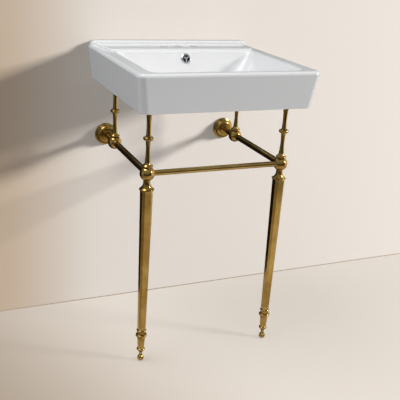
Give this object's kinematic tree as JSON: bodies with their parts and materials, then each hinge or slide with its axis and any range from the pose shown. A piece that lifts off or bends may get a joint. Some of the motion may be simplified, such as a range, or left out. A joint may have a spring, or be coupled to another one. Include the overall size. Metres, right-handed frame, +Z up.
{
  "type": "console sink with legs",
  "caption": "Console washbasin on a brass stand: tapered front legs with levelling ball feet, turned posts, side bars to wall flanges, overflow and a tap deck.",
  "frame": {"origin": "on the floor, under the middle of the basin's footprint", "axes": "+Z up, -Y towards the user, the wall plane at the +Y end"},
  "size_m": [0.5324, 0.4887, 0.897],
  "materials": {
    "glazed_ceramic": "gloss white glaze",
    "aged_brass": "polished, slightly aged",
    "chrome": "polished",
    "rubber": "matt black",
    "steel": "zinc plated"
  },
  "bodies": {
    "stand": {"basin": "glazed_ceramic", "ferrule_left": "aged_brass", "ferrule_right": "aged_brass", "front_bar": "aged_brass", "hub_front_left": "aged_brass", "hub_front_right": "aged_brass", "hub_rear_left": "aged_brass", "hub_rear_right": "aged_brass", "leg_cap_left": "aged_brass", "leg_cap_right": "aged_brass", "leg_left": "aged_brass", "leg_right": "aged_brass", "leg_rod_left": "steel", "leg_rod_right": "steel", "overflow_trim": "chrome", "pad_front_left": "rubber", "pad_front_right": "rubber", "pad_rear_left": "rubber", "pad_rear_right": "rubber", "post_front_left": "aged_brass", "post_front_right": "aged_brass", "post_rear_left": "aged_brass", "post_rear_right": "aged_brass", "post_studs": "steel", "set_screws": "steel", "side_bar_left": "aged_brass", "side_bar_right": "aged_brass", "wall_bracket_left": "steel", "wall_bracket_right": "steel", "wall_flange_left": "aged_brass", "wall_flange_right": "aged_brass"},
    "foot_left": {"foot_left": "aged_brass"},
    "foot_right": {"foot_right": "aged_brass"}
  },
  "joints": [
    {"name": "foot_left_screw", "type": "slide", "parent": "stand", "child": "foot_left", "axis": [0, 0, -1], "range_m": [-0.004, 0.012]},
    {"name": "foot_right_screw", "type": "slide", "parent": "stand", "child": "foot_right", "axis": [0, 0, -1], "range_m": [-0.004, 0.012]}
  ]
}
